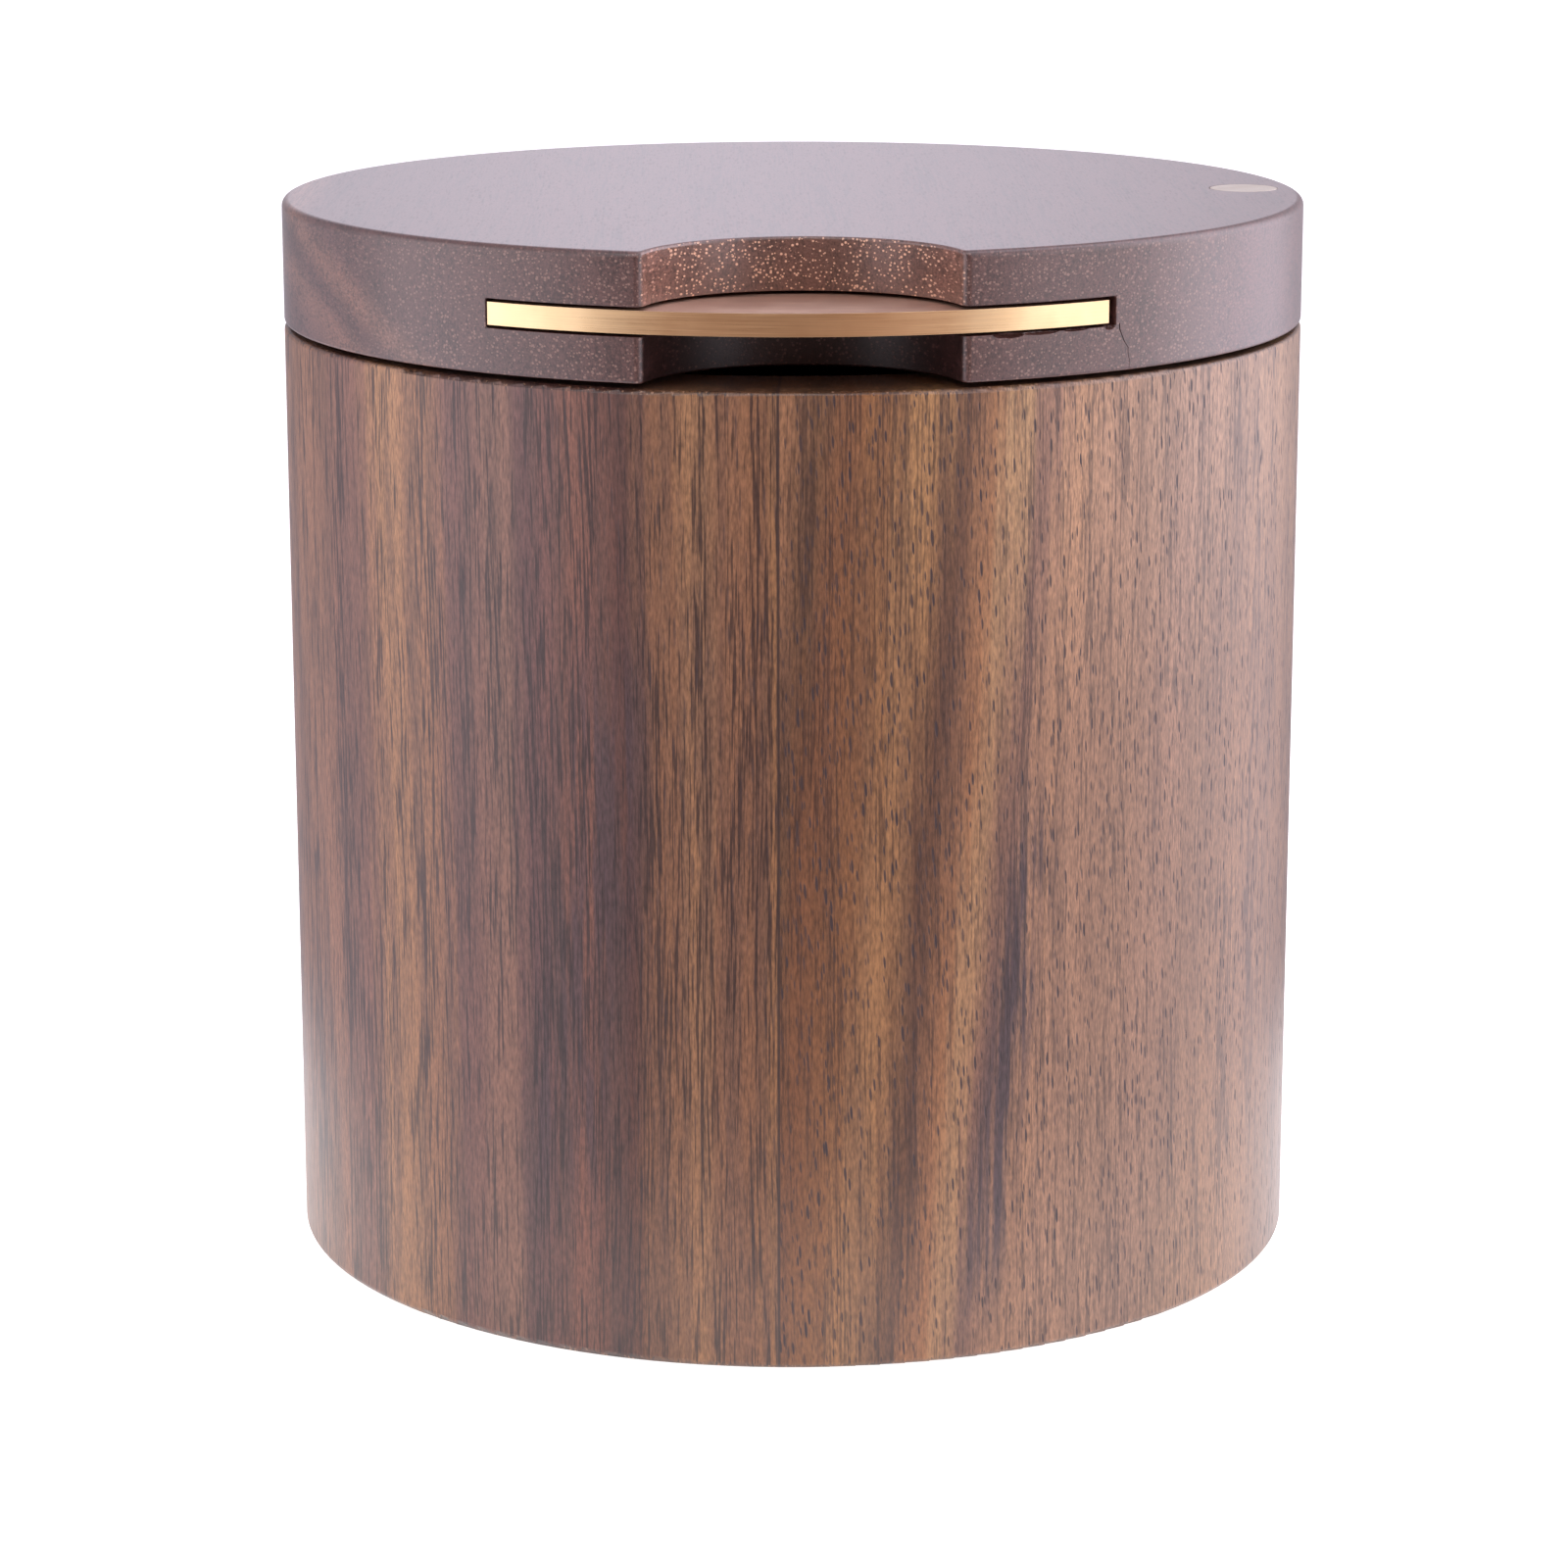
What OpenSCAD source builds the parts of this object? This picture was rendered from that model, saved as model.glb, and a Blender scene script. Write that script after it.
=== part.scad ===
// Round walnut salt box with a lid that swivels on an upright pin in its wall.
// The origin is the centre of the underside, +Z is up, and the thumb notch faces -Y.
// Angles round the box are counted from the notch towards +X.

/* [Box] */
// Outside diameter of the box and of its lid
box_d = 105; // [95:1:120]
// Height of the body, from the table to its rim
body_h = 96.4; // [70:0.1:130]
// Thickness of the body's wall
wall = 11; // [10.5:0.5:16]
// Thickness of the floor over the base ring
floor_t = 10; // [6:0.5:16]
// Radius of the cove between the wall and the floor, inside
cove_r = 5; // [2:0.5:10]
// Roundover on the two edges of the rim
rim_round = 0.5; // [0.2:0.1:1]
// Roundover on the outer edge of the base
base_round = 0.8; // [0.3:0.1:2]
// Width of the flat ring that the box stands on
base_ring_w = 12; // [6:0.5:20]
// Depth of the relief turned into the underside, inside the base ring
base_relief = 0.6; // [0.3:0.1:1.5]
// Direction of the glue seam at the front
seam_az = -2.6; // [-15:0.1:15]

/* [Lid] */
// Thickness of the lid
lid_t = 12.4; // [11:0.1:16]
// Gap between the rim and the lid
lid_gap = 0.5; // [0.4:0.05:1]
// Roundover on the top edge of the lid
lid_round = 0.8; // [0.3:0.1:2]
// Roundover on the lower edge of the lid
lid_under_round = 0.3; // [0.1:0.1:1]

/* [Thumb notch and kerf] */
// Radius of the thumb notch
notch_r = 15.5; // [12:0.5:19]
// How far outside the lid's edge the centre of the notch lies
notch_out = 1.5; // [0:0.1:4]
// Radius of the two upright corners between the notch and the lid's edge
notch_corner_r = 0.8; // [0.3:0.1:1.5]
// How far each corner's round stands out over a round that would touch both faces
notch_corner_bite = 0.1; // [0.05:0.05:0.2]
// Chamfer on the notch's top edge
notch_chamfer = 0.3; // [0.1:0.1:0.6]
// Radius of the kerf that takes the thumb plate, about the centre of the notch
kerf_r = 31.8; // [27:0.1:36]
// Height of the kerf
kerf_h = 2.8; // [2.6:0.1:4]
// Thickness of the wood under the kerf
kerf_z = 4.4; // [3:0.1:6]

/* [Thumb plate] */
// Thickness of the brass plate
plate_t = 2.2; // [1.5:0.1:2.4]
// Gap between the plate's hidden edge and the end of the kerf
plate_gap = 0.5; // [0.4:0.05:1]
// How far the plate lies to the side of the kerf's middle
plate_shift = -0.35; // [-0.35:0.05:0.35]
// Roundover on the edges of the plate
plate_round = 0.25; // [0.1:0.05:0.5]

/* [Pivot] */
// Diameter of the pivot pin
pin_d = 7; // [5:0.1:7.5]
// Direction of the pivot from the middle of the box
pivot_az = 93; // [75:1:110]
// Length of the pin inside the body
pin_reach = 24; // [15:1:35]
// Chamfer on the lower end of the pin
pin_chamfer = 0.6; // [0.2:0.1:1]
// Thickness of the bush round the pin
bush_t = 1; // [0.8:0.1:1.2]
// Width of the bush's flange, beyond its sleeve
flange_w = 0.6; // [0.4:0.1:0.6]
// Radial clearance of the pin in its bush
pin_clear = 0.05; // [0.02:0.01:0.1]
// Play between the flange and the lid
end_float = 0.05; // [0.03:0.01:0.1]

/* [Magnets] */
// Diameter of the two catch magnets
magnet_d = 6; // [4:0.5:8]
// Thickness of each magnet
magnet_t = 3; // [2:0.5:4]
// Air gap between the two magnets when the lid is shut
magnet_air = 0.1; // [0.1:0.05:0.2]
// Thickness of the glue round the pin, the bush and the magnets
glue_t = 0.03; // [0.01:0.01:0.05]

/* [Hidden] */
$fn = 180;
eps = 0.01;

box_r = box_d / 2;
bore_r = box_r - wall;
lid_z = body_h + lid_gap;
lid_top = lid_z + lid_t;

notch_c = [0, -(box_r + notch_out)];
plate_r = kerf_r - plate_gap;
plate_z = lid_z + kerf_z + (kerf_h - plate_t) / 2;

wall_mid_r = box_r - wall / 2;
pivot_at = polar(wall_mid_r, pivot_az);
magnet_at = polar(wall_mid_r, pivot_az + 180);
sleeve_bore_r = pin_d / 2 + pin_clear;
sleeve_r = sleeve_bore_r + bush_t;
flange_r = sleeve_r + flange_w;
flange_t = lid_gap - end_float;
// The bush is a little longer than the pin, which ends free of the wood
bush_l = pin_reach + 1;
magnet_proud = (lid_gap - magnet_air) / 2;

// A point at radius r, in the direction az from the notch towards +X
function polar(r, az) = [r * sin(az), -r * cos(az)];

// Where a circle of radius a about the axis meets one of radius b about the
// centre of the notch, on the +X side
function on_both(a, b) =
    let (n = -notch_c.y, y = (b * b - a * a - n * n) / (2 * n))
    [sqrt(a * a - y * y), y];

// Rectangle in the revolved section, from radius 0, with round outer corners
module turned_section(r, h, low_round, top_round) {
    square([r - max(low_round, top_round), h]);
    translate([0, low_round])
        square([r, h - low_round - top_round]);
    translate([r - low_round, low_round])
        circle(r = low_round);
    translate([r - top_round, h - top_round])
        circle(r = top_round);
    translate([0, h - top_round])
        square([r - top_round, top_round]);
    square([r - low_round, low_round]);
}

// The hollow in the revolved section, coved at the floor and eased at the rim
module hollow_section() {
    translate([0, floor_t + cove_r])
        square([bore_r, body_h]);
    translate([0, floor_t])
        square([bore_r - cove_r, body_h]);
    translate([bore_r - cove_r, floor_t + cove_r])
        circle(r = cove_r);
    difference() {
        translate([0, body_h - rim_round])
            square([bore_r + rim_round, 2 * rim_round]);
        translate([bore_r + rim_round, body_h - rim_round])
            circle(r = rim_round);
    }
}

module body_section() {
    difference() {
        turned_section(box_r, body_h, base_round, rim_round);
        hollow_section();
        translate([0, -eps])
            square([box_r - base_ring_w, base_relief + eps]);
    }
}

// Half of the turned and bored blank: the block on the clockwise side of az
module body_half(az) {
    rotate([0, 0, az - 90])
        rotate_extrude(angle = 180)
            body_section();
}

// A blind hole down from the rim
module rim_hole(at, r, depth) {
    translate([at.x, at.y, body_h - depth])
        cylinder(r = r, h = depth + 1);
}

module body_left_block() {
    color("#6f4c40")
        difference() {
            body_half(seam_az + 180);
            rim_hole(magnet_at, magnet_d / 2 + glue_t, magnet_t - magnet_proud);
        }
}

module body_right_block() {
    color("#85593f")
        difference() {
            body_half(seam_az);
            rim_hole(pivot_at, sleeve_r + glue_t, bush_l);
        }
}

module body_magnet() {
    color("#b4b6b8")
        translate([magnet_at.x, magnet_at.y, body_h - magnet_t + magnet_proud])
            cylinder(d = magnet_d, h = magnet_t);
}

// Flanged sleeve: the flange stands on the rim and carries the lid
module pivot_bush() {
    color("#c9a45c")
        translate([pivot_at.x, pivot_at.y, body_h])
            difference() {
                union() {
                    translate([0, 0, -bush_l])
                        cylinder(r = sleeve_r, h = bush_l);
                    cylinder(r = flange_r, h = flange_t);
                }
                translate([0, 0, -bush_l - 1])
                    cylinder(r = sleeve_bore_r, h = bush_l + flange_t + 2);
            }
}

// What is eased off the corner between the notch and the lid's edge, on the +X side
module corner_waste() {
    inset = notch_corner_r - notch_corner_bite;
    c = on_both(box_r - inset, notch_r + inset);
    out = c / norm(c) * 3 * notch_corner_r;
    in = (notch_c - c) / norm(notch_c - c) * 3 * notch_corner_r;
    difference() {
        polygon([c, c + out, c + out + in, c + in]);
        translate(c)
            circle(r = notch_corner_r);
    }
}

module lid_plan() {
    difference() {
        circle(r = box_r + 1);
        translate(notch_c)
            circle(r = notch_r);
        corner_waste();
        mirror([1, 0])
            corner_waste();
    }
}

// A cone that eases the notch's top edge
module notch_edge_waste() {
    over = 1;
    translate([notch_c.x, notch_c.y, lid_t - notch_chamfer])
        rotate_extrude()
            polygon([
                [0, -over],
                [notch_r - over, -over],
                [notch_r + notch_chamfer + over, notch_chamfer + over],
                [0, notch_chamfer + over]
            ]);
}

module lid_board() {
    color("#5d433d")
        translate([0, 0, lid_z])
            difference() {
                intersection() {
                    linear_extrude(lid_t)
                        lid_plan();
                    rotate_extrude()
                        turned_section(box_r, lid_t, lid_under_round, lid_round);
                }
                notch_edge_waste();
                translate([notch_c.x, notch_c.y, kerf_z])
                    cylinder(r = kerf_r, h = kerf_h);
                translate([pivot_at.x, pivot_at.y, -1])
                    cylinder(r = pin_d / 2 + glue_t, h = lid_t + 2);
                translate([magnet_at.x, magnet_at.y, -1])
                    cylinder(r = magnet_d / 2 + glue_t, h = magnet_t - magnet_proud + 1);
            }
}

module lid_magnet() {
    color("#b4b6b8")
        translate([magnet_at.x, magnet_at.y, lid_z - magnet_proud])
            cylinder(d = magnet_d, h = magnet_t);
}

// Brass lens: its front edge is flush with the lid's edge, its hidden edge
// follows the end of the kerf
module thumb_plate() {
    color("#d9b368")
        translate([0, 0, plate_z])
            intersection() {
                rotate_extrude()
                    turned_section(box_r, plate_t, plate_round, plate_round);
                translate([notch_c.x + plate_shift, notch_c.y, 0])
                    rotate_extrude()
                        turned_section(plate_r, plate_t, plate_round, plate_round);
            }
}

// Turned pin, glued into the lid with its end flush with the top
module pivot_pin() {
    pin_l = lid_top - body_h + pin_reach;
    color("#c9a45c")
        translate([pivot_at.x, pivot_at.y, lid_top - pin_l])
            rotate_extrude()
                polygon([
                    [0, 0],
                    [pin_d / 2 - pin_chamfer, 0],
                    [pin_d / 2, pin_chamfer],
                    [pin_d / 2, pin_l],
                    [0, pin_l]
                ]);
}

body_left_block();
body_right_block();
body_magnet();
pivot_bush();
lid_board();
lid_magnet();
thumb_plate();
pivot_pin();
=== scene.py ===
import math

import bpy
from mathutils import Matrix, Vector


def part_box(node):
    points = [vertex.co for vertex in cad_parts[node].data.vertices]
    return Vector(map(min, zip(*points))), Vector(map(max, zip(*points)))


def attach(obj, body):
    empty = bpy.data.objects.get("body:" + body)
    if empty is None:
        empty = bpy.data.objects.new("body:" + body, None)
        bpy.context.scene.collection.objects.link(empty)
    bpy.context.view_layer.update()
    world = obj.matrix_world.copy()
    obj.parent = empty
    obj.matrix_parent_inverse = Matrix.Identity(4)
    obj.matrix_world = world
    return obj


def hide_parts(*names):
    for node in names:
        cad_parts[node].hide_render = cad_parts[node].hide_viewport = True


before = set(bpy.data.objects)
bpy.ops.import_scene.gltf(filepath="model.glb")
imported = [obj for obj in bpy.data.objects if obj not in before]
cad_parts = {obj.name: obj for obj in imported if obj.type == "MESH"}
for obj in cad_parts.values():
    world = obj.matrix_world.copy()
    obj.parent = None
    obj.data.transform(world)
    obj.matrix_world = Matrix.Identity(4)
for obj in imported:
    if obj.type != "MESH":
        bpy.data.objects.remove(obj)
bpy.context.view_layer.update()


# --- Body blocks -----------------------------------------------------------
# The salt box's body is two blocks of black walnut, glued edge to edge with the
# grain upright, then turned and bored on a lathe. It is sanded and rubbed with
# hard wax oil, which leaves a satin film over open pores.

def srgb(code):
    """A hex colour, as the eye sees it, turned to the linear values that a shader takes."""
    channels = [int(code[i:i + 2], 16) / 255 for i in (1, 3, 5)]
    return [c / 12.92 if c <= 0.04045 else ((c + 0.055) / 1.055) ** 2.4 for c in channels] + [1.0]


def put(tree, kind, inputs=(), **settings):
    """Adds a shader node. inputs maps each socket to a value or to the socket that feeds it."""
    node = tree.nodes.new(kind)
    for name, value in settings.items():
        setattr(node, name, value)
    for socket, value in dict(inputs).items():
        if isinstance(value, bpy.types.NodeSocket):
            tree.links.new(value, node.inputs[socket])
        else:
            node.inputs[socket].default_value = value
    return node


def blank_material(name):
    """A material with nothing in it but its output, and its node tree."""
    material = bpy.data.materials.new(name)
    material.use_nodes = True
    tree = material.node_tree
    tree.nodes.remove(tree.nodes["Principled BSDF"])
    return material, tree


def walnut(name, bands, pith, log_at, feather, line_depth, pore_depth, pore_cell, end_tone, film,
           grain=(0, 0, 1), lean=0.0, pore_size=0.295, slant=0.0, end_speck="#a07c62", smoke=None,
           fade=None, seam=None, notch=None):
    """Black walnut, solid: it is sawn from a log whose rings are centred on pith, in mm across
    the grain, and bands gives the heartwood's colours by distance from that centre. It gives the
    eye brown bands with purple ones between them, fine dark lines along the grain, and open
    pores, which are dark dashes on a side and pale specks on a sawn end. log_at is how far up
    the log the board was cut, in mm, film is how much oil and wax stands on it, and each depth
    runs from 0, unseen, to 1."""
    satin = 0.42
    material, tree = blank_material(name)
    coordinates = put(tree, "ShaderNodeTexCoord")

    # The board in millimetres, turned so that its grain is upright, and its place in the log
    turn = Vector(grain).rotation_difference(Vector((0, 0, 1))).to_euler()
    board = put(tree, "ShaderNodeMapping", {
        "Vector": coordinates.outputs["Object"], "Scale": (1000, 1000, 1000), "Rotation": turn})
    log = put(tree, "ShaderNodeVectorMath", {0: board.outputs[0], 1: (0, 0, log_at)}, operation="ADD")

    # The grain bends slowly, by bow over 30 mm across and 120 mm along, and ripples by kink over
    # shorter ways
    bow = 1.8
    kink = 0.2
    bend_at = put(tree, "ShaderNodeVectorMath", {0: log.outputs[0], 1: (1 / 30, 1 / 30, 1 / 120)},
                  operation="MULTIPLY")
    bend = put(tree, "ShaderNodeTexNoise", {"Vector": bend_at.outputs[0], "Scale": 1, "Detail": 1})
    ripple_at = put(tree, "ShaderNodeVectorMath", {0: log.outputs[0], 1: (1 / 7, 1 / 7, 1 / 38)},
                    operation="MULTIPLY")
    ripple = put(tree, "ShaderNodeTexNoise", {"Vector": ripple_at.outputs[0], "Scale": 1, "Detail": 1})
    bent = put(tree, "ShaderNodeVectorMath", {
        0: bend.outputs["Color"], 1: (2 * bow, 2 * bow, 0), 2: (-bow, -bow, 0)},
        operation="MULTIPLY_ADD")
    rippled = put(tree, "ShaderNodeVectorMath", {
        0: ripple.outputs["Color"], 1: (2 * kink, 2 * kink, 0), 2: (-kink, -kink, 0)},
        operation="MULTIPLY_ADD")
    pushed = put(tree, "ShaderNodeVectorMath", {0: bent.outputs[0], 1: rippled.outputs[0]}, operation="ADD")
    fibre = put(tree, "ShaderNodeVectorMath", {0: log.outputs[0], 1: pushed.outputs[0]}, operation="ADD")

    # Distance from the pith, with the log standing at a lean
    placed = put(tree, "ShaderNodeVectorMath", {0: board.outputs[0], 1: pushed.outputs[0]}, operation="ADD")
    split = put(tree, "ShaderNodeSeparateXYZ", {0: placed.outputs[0]})
    leant = put(tree, "ShaderNodeMath", {0: split.outputs["Z"], 1: -lean, 2: split.outputs["X"]},
                operation="MULTIPLY_ADD")
    across = put(tree, "ShaderNodeCombineXYZ", {"X": leant.outputs[0], "Y": split.outputs["Y"]})
    radius = put(tree, "ShaderNodeVectorMath", {0: across.outputs[0], 1: (*pith, 0)}, operation="DISTANCE")
    ring = radius.outputs["Value"]

    # The bands' edges are feathered: a fibre takes its colour up to feather mm too early or late,
    # and mostly by less than half of that
    feather_at = put(tree, "ShaderNodeVectorMath", {0: fibre.outputs[0], 1: (1 / 0.8, 1 / 2.5, 1 / 48)},
                     operation="MULTIPLY")
    feathers = put(tree, "ShaderNodeTexNoise", {"Vector": feather_at.outputs[0], "Scale": 1, "Detail": 2})
    strayed = put(tree, "ShaderNodeMath", {0: feathers.outputs["Fac"], 1: 2 * feather, 2: -feather},
                  operation="MULTIPLY_ADD")
    feathered = put(tree, "ShaderNodeMath", {0: ring, 1: strayed.outputs[0]}, operation="ADD")

    # The heartwood's colour by distance from the pith
    first, last = min(bands), max(bands)
    along = put(tree, "ShaderNodeMapRange", {
        "Value": feathered.outputs[0], "From Min": first, "From Max": last})
    heart = put(tree, "ShaderNodeValToRGB", {"Fac": along.outputs[0]})
    heart.color_ramp.interpolation = "EASE"
    stops = heart.color_ramp.elements
    stops.remove(stops[1])
    for distance in sorted(bands):
        stop = stops[0] if distance == first else stops.new((distance - first) / (last - first))
        stop.position = (distance - first) / (last - first)
        stop.color = srgb(bands[distance])
    colour = heart.outputs["Color"]

    # The colour grows paler along the grain, from dark_to to pale_from mm, by up to paleness
    if fade:
        dark_to, pale_from, paleness = fade
        paler = put(tree, "ShaderNodeMapRange", {
            "Value": split.outputs["Z"], "From Min": dark_to, "From Max": pale_from})
        pale = put(tree, "ShaderNodeMix", {0: paler.outputs[0], 6: (1, 1, 1, 1), 7: (*paleness, 1)},
                   data_type="RGBA")
        faded = put(tree, "ShaderNodeVectorMath", {0: colour, 1: pale.outputs[2]}, operation="MULTIPLY")
        colour = faded.outputs[0]

    # A smoky purple streak, from one point to another in mm across and along the grain: full over
    # a quarter of its width and half of its length, soft outside that, and torn into wisps
    if smoke:
        (foot_x, foot_z), (head_x, head_z), half_width, strength = smoke
        half_length = (head_z - foot_z) / 2
        streak = put(tree, "ShaderNodeMapRange", {
            "Value": split.outputs["Z"], "From Min": foot_z, "From Max": head_z,
            "To Min": foot_x, "To Max": head_x}, clamp=False)
        aside = put(tree, "ShaderNodeMath", {0: split.outputs["X"], 1: streak.outputs[0]},
                    operation="SUBTRACT")
        off = put(tree, "ShaderNodeMath", {0: aside.outputs[0]}, operation="ABSOLUTE")
        near = put(tree, "ShaderNodeMapRange", {
            "Value": off.outputs[0], "From Min": half_width, "From Max": 0.25 * half_width},
            interpolation_type="SMOOTHSTEP")
        from_mid = put(tree, "ShaderNodeMath", {0: split.outputs["Z"], 1: (foot_z + head_z) / 2},
                       operation="SUBTRACT")
        along_mid = put(tree, "ShaderNodeMath", {0: from_mid.outputs[0]}, operation="ABSOLUTE")
        ends = put(tree, "ShaderNodeMapRange", {
            "Value": along_mid.outputs[0], "From Min": half_length, "From Max": 0.5 * half_length},
            interpolation_type="SMOOTHSTEP")
        shape = put(tree, "ShaderNodeMath", {0: near.outputs[0], 1: ends.outputs[0]}, operation="MULTIPLY")
        wisp_at = put(tree, "ShaderNodeVectorMath", {0: fibre.outputs[0], 1: (1 / 0.9, 1 / 3, 1 / 22)},
                      operation="MULTIPLY")
        wisp = put(tree, "ShaderNodeTexNoise", {"Vector": wisp_at.outputs[0], "Scale": 1, "Detail": 3})
        torn = put(tree, "ShaderNodeMapRange", {
            "Value": wisp.outputs["Fac"], "From Min": 0.38, "From Max": 0.56})
        smoky = put(tree, "ShaderNodeMath", {0: shape.outputs[0], 1: torn.outputs[0]}, operation="MULTIPLY")
        weight = put(tree, "ShaderNodeMath", {0: smoky.outputs[0], 1: strength}, operation="MULTIPLY")
        smoked = put(tree, "ShaderNodeMix", {0: weight.outputs[0], 6: colour, 7: srgb("#3a2c33")},
                     data_type="RGBA")
        colour = smoked.outputs[2]

    # Dark lines along the grain: broad soft ones about 1.5 mm apart, and groups of sharp ones
    # 0.2 mm wide. A line starts where its noise passes From Min and is darkest past From Max
    soft_depth = 0.6 * line_depth
    grouping = 0.4
    broad_at = put(tree, "ShaderNodeVectorMath", {0: fibre.outputs[0], 1: (1 / 1.4, 1 / 5, 1 / 40)},
                   operation="MULTIPLY")
    broad = put(tree, "ShaderNodeTexNoise", {"Vector": broad_at.outputs[0], "Scale": 1, "Detail": 2,
                                            "Roughness": 0.55})
    sharp_at = put(tree, "ShaderNodeVectorMath", {0: fibre.outputs[0], 1: (1 / 0.22, 1 / 0.5, 1 / 8)},
                   operation="MULTIPLY")
    sharp = put(tree, "ShaderNodeTexNoise", {"Vector": sharp_at.outputs[0], "Scale": 1, "Detail": 2})
    group_at = put(tree, "ShaderNodeVectorMath", {0: fibre.outputs[0], 1: (1 / 2.2, 1 / 4, 1 / 45)},
                   operation="MULTIPLY")
    group = put(tree, "ShaderNodeTexNoise", {"Vector": group_at.outputs[0], "Scale": 1, "Detail": 1})
    grouped = put(tree, "ShaderNodeMath", {
        0: group.outputs["Fac"], 1: grouping, 2: sharp.outputs["Fac"]}, operation="MULTIPLY_ADD")
    broad_line = put(tree, "ShaderNodeMapRange", {
        "Value": broad.outputs["Fac"], "From Min": 0.42, "From Max": 0.66, "To Max": soft_depth})
    sharp_line = put(tree, "ShaderNodeMapRange", {
        "Value": grouped.outputs[0], "From Min": 0.73, "From Max": 0.82, "To Max": line_depth})
    darker = put(tree, "ShaderNodeMix", {0: broad_line.outputs[0], 6: colour, 7: srgb("#4a342d")},
                 data_type="RGBA")
    drawn = put(tree, "ShaderNodeMix", {
        0: sharp_line.outputs[0], 6: darker.outputs[2], 7: srgb("#281919")}, data_type="RGBA")

    # Fibres, 0.2 mm wide and a millimetre long, each a little darker or paler than the next
    hair_at = put(tree, "ShaderNodeVectorMath", {0: fibre.outputs[0], 1: (1 / 0.2, 1 / 0.2, 1 / 0.9)},
                  operation="MULTIPLY")
    hair = put(tree, "ShaderNodeTexNoise", {"Vector": hair_at.outputs[0], "Scale": 1, "Detail": 3})
    hair_tone = put(tree, "ShaderNodeMapRange", {
        "Value": hair.outputs["Fac"], "From Min": 0.3, "From Max": 0.7, "To Min": 0.62, "To Max": 1.38})
    fibrous = put(tree, "ShaderNodeVectorMath", {0: drawn.outputs[2], "Scale": hair_tone.outputs[0]},
                  operation="SCALE")

    # Vessels: at most one in each cell of pore_cell, in mm, and it fills a third of the cell or
    # more, by its own lot and by whether it stands in a crowd or a clearing
    by_lot = 0.22
    by_crowd = 0.2
    soft_rim = 0.12
    slanted = put(tree, "ShaderNodeMapping", {"Vector": fibre.outputs[0], "Rotation": (0, slant, 0)})
    cells = put(tree, "ShaderNodeVectorMath", {0: slanted.outputs[0], 1: [1 / size for size in pore_cell]},
                operation="MULTIPLY")
    vessel = put(tree, "ShaderNodeTexVoronoi", {"Vector": cells.outputs[0], "Scale": 1})
    lot = put(tree, "ShaderNodeSeparateColor", {0: vessel.outputs["Color"]})
    crowd_at = put(tree, "ShaderNodeVectorMath", {0: fibre.outputs[0], 1: (1 / 3, 1 / 3, 1 / 24)},
                   operation="MULTIPLY")
    crowd = put(tree, "ShaderNodeTexNoise", {"Vector": crowd_at.outputs[0], "Scale": 1, "Detail": 1})
    thinned = put(tree, "ShaderNodeMath", {0: lot.outputs[0], 1: by_lot, 2: vessel.outputs["Distance"]},
                  operation="MULTIPLY_ADD")
    shrunk = put(tree, "ShaderNodeMath", {0: crowd.outputs["Fac"], 1: -by_crowd, 2: thinned.outputs[0]},
                 operation="MULTIPLY_ADD")
    pore = put(tree, "ShaderNodeMapRange", {
        "Value": shrunk.outputs[0], "From Min": pore_size, "From Max": pore_size - soft_rim},
        interpolation_type="SMOOTHSTEP")
    depth = put(tree, "ShaderNodeMapRange", {
        "Value": lot.outputs[1], "To Min": 0.5 * pore_depth, "To Max": pore_depth})
    dash = put(tree, "ShaderNodeMath", {0: pore.outputs[0], 1: depth.outputs[0]}, operation="MULTIPLY")
    side = put(tree, "ShaderNodeMix", {0: dash.outputs[0], 6: fibrous.outputs[0], 7: srgb("#2f2126")},
               data_type="RGBA")

    # A sawn end drinks more oil, so it is darker, and its pores hold pale dust. What faces along
    # the grain counts as an end, and what is round between an end and a side is a blend of both
    dust_depth = 0.7
    toned = put(tree, "ShaderNodeVectorMath", {0: fibrous.outputs[0], "Scale": end_tone}, operation="SCALE")
    speck = put(tree, "ShaderNodeMath", {0: pore.outputs[0], 1: dust_depth}, operation="MULTIPLY")
    end = put(tree, "ShaderNodeMix", {0: speck.outputs[0], 6: toned.outputs[0], 7: srgb(end_speck)},
              data_type="RGBA")
    facing = put(tree, "ShaderNodeVectorMath", {0: coordinates.outputs["Normal"], 1: grain},
                 operation="DOT_PRODUCT")
    squarely = put(tree, "ShaderNodeMath", {0: facing.outputs["Value"]}, operation="ABSOLUTE")
    on_end = put(tree, "ShaderNodeMapRange", {
        "Value": squarely.outputs[0], "From Min": 0.25, "From Max": 0.8},
        interpolation_type="SMOOTHSTEP")
    whole = put(tree, "ShaderNodeMix", {0: on_end.outputs[0], 6: side.outputs[2], 7: end.outputs[2]},
                data_type="RGBA")
    surface = whole.outputs[2]

    # The glue seam: a dark line, 0.16 mm wide and soft on both sides, in the plane that the seam's
    # direction and the axis span
    if seam is not None:
        square_to = (math.cos(math.radians(seam)), math.sin(math.radians(seam)), 0)
        beside = put(tree, "ShaderNodeVectorMath", {0: board.outputs[0], 1: square_to},
                     operation="DOT_PRODUCT")
        close = put(tree, "ShaderNodeMath", {0: beside.outputs["Value"]}, operation="ABSOLUTE")
        glue = put(tree, "ShaderNodeMapRange", {
            "Value": close.outputs[0], "From Min": 0.2, "From Max": 0.08, "To Max": 0.85})
        glued = put(tree, "ShaderNodeMix", {0: glue.outputs[0], 6: surface, 7: srgb("#2e2120")},
                    data_type="RGBA")
        surface = glued.outputs[2]
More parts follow.
